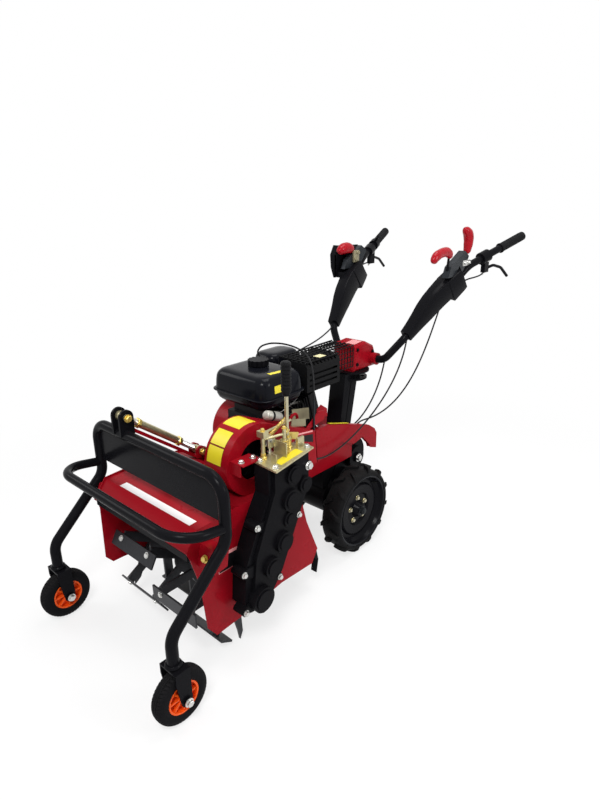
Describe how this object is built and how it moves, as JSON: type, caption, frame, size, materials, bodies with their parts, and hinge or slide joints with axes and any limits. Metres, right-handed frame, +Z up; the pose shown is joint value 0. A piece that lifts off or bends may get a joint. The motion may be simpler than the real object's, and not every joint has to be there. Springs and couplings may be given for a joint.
{
  "type": "walking power weeder",
  "caption": "Walk-behind petrol power weeder with a covered tined rotor, front caster frame, side gear case, lug drive wheels and upswept handlebar.",
  "frame": {"origin": "middle of the whole machine's footprint box, on the floor", "axes": "+X to the machine's left, +Y to the rear where the operator walks, +Z up; the casters are at -Y"},
  "size_m": [0.7248, 1.9426, 1.187],
  "materials": {
    "black_paint": "gloss",
    "red_paint": "gloss",
    "zinc": "satin",
    "caster_rubber": "matte",
    "orange_plastic": "gloss",
    "rotor_steel": "satin",
    "cast_black": "satin",
    "lever_steel": "satin",
    "cast_grey": "satin",
    "belt_rubber": "matte",
    "engine_aluminium": "satin",
    "black_gloss": "gloss",
    "black_plastic": "matte",
    "muffler_black": "matte",
    "red_plastic": "gloss",
    "gate_steel": "satin",
    "cable_black": "satin",
    "grip_rubber": "matte",
    "tyre_rubber": "matte"
  },
  "bodies": {
    "machine": {"hoop_frame": "black_paint", "front_panel": "black_paint", "top_link": "zinc", "hood_top": "red_paint", "hood_lip": "black_paint", "hood_side_left": "red_paint", "hood_side_right": "red_paint", "gear_case": "cast_black", "shift_plate": "zinc", "gear_lever": "lever_steel", "belt_guard": "red_paint", "belt_pulleys": "cast_grey", "drive_belt": "belt_rubber", "engine_block": "engine_aluminium", "recoil_shroud": "red_paint", "fuel_tank": "black_gloss", "fuel_cap": "black_plastic", "air_cleaner": "black_plastic", "muffler": "muffler_black", "chassis": "red_paint", "fenders": "red_paint", "transmission_case": "cast_black", "steering_column": "black_paint", "column_cover": "red_paint", "handlebar": "black_paint", "handle_cover_left": "black_paint", "handle_cover_right": "black_paint", "control_levers": "red_plastic", "clutch_levers": "black_paint", "grips": "grip_rubber", "muffler_guard": "muffler_black", "lever_gates": "gate_steel", "cables": "cable_black"},
    "caster_left": {"caster_fork_left": "black_paint"},
    "caster_wheel_left": {"caster_tyre_left": "caster_rubber", "caster_rim_left": "orange_plastic"},
    "caster_right": {"caster_fork_right": "black_paint"},
    "caster_wheel_right": {"caster_tyre_right": "caster_rubber", "caster_rim_right": "orange_plastic"},
    "rotor": {"rotor_shaft": "rotor_steel", "rotor_bars": "rotor_steel"},
    "drive_wheel_left": {"drive_rim_left": "black_paint", "drive_tyre_left": "tyre_rubber"},
    "drive_wheel_right": {"drive_rim_right": "black_paint", "drive_tyre_right": "tyre_rubber"}
  },
  "joints": [
    {"name": "caster_swivel_left", "type": "hinge", "parent": "machine", "child": "caster_left", "pos_m": [0.308, -0.90057, 0.184], "axis": [0, 0, 1], "continuous": true},
    {"name": "caster_spin_left", "type": "hinge", "parent": "caster_left", "child": "caster_wheel_left", "pos_m": [0.308, -0.89127, 0.08], "axis": [1, 0, 0], "continuous": true},
    {"name": "drive_wheel_spin_left", "type": "hinge", "parent": "machine", "child": "drive_wheel_left", "pos_m": [0.1808, 0.04213, 0.1724], "axis": [1, 0, 0], "continuous": true},
    {"name": "caster_swivel_right", "type": "hinge", "parent": "machine", "child": "caster_right", "pos_m": [-0.308, -0.90057, 0.184], "axis": [0, 0, 1], "continuous": true},
    {"name": "caster_spin_right", "type": "hinge", "parent": "caster_right", "child": "caster_wheel_right", "pos_m": [-0.308, -0.89127, 0.08], "axis": [1, 0, 0], "continuous": true},
    {"name": "drive_wheel_spin_right", "type": "hinge", "parent": "machine", "child": "drive_wheel_right", "pos_m": [-0.1808, 0.04213, 0.1724], "axis": [1, 0, 0], "continuous": true},
    {"name": "rotor_spin", "type": "hinge", "parent": "machine", "child": "rotor", "pos_m": [0, -0.58057, 0.19], "axis": [1, 0, 0], "continuous": true}
  ]
}
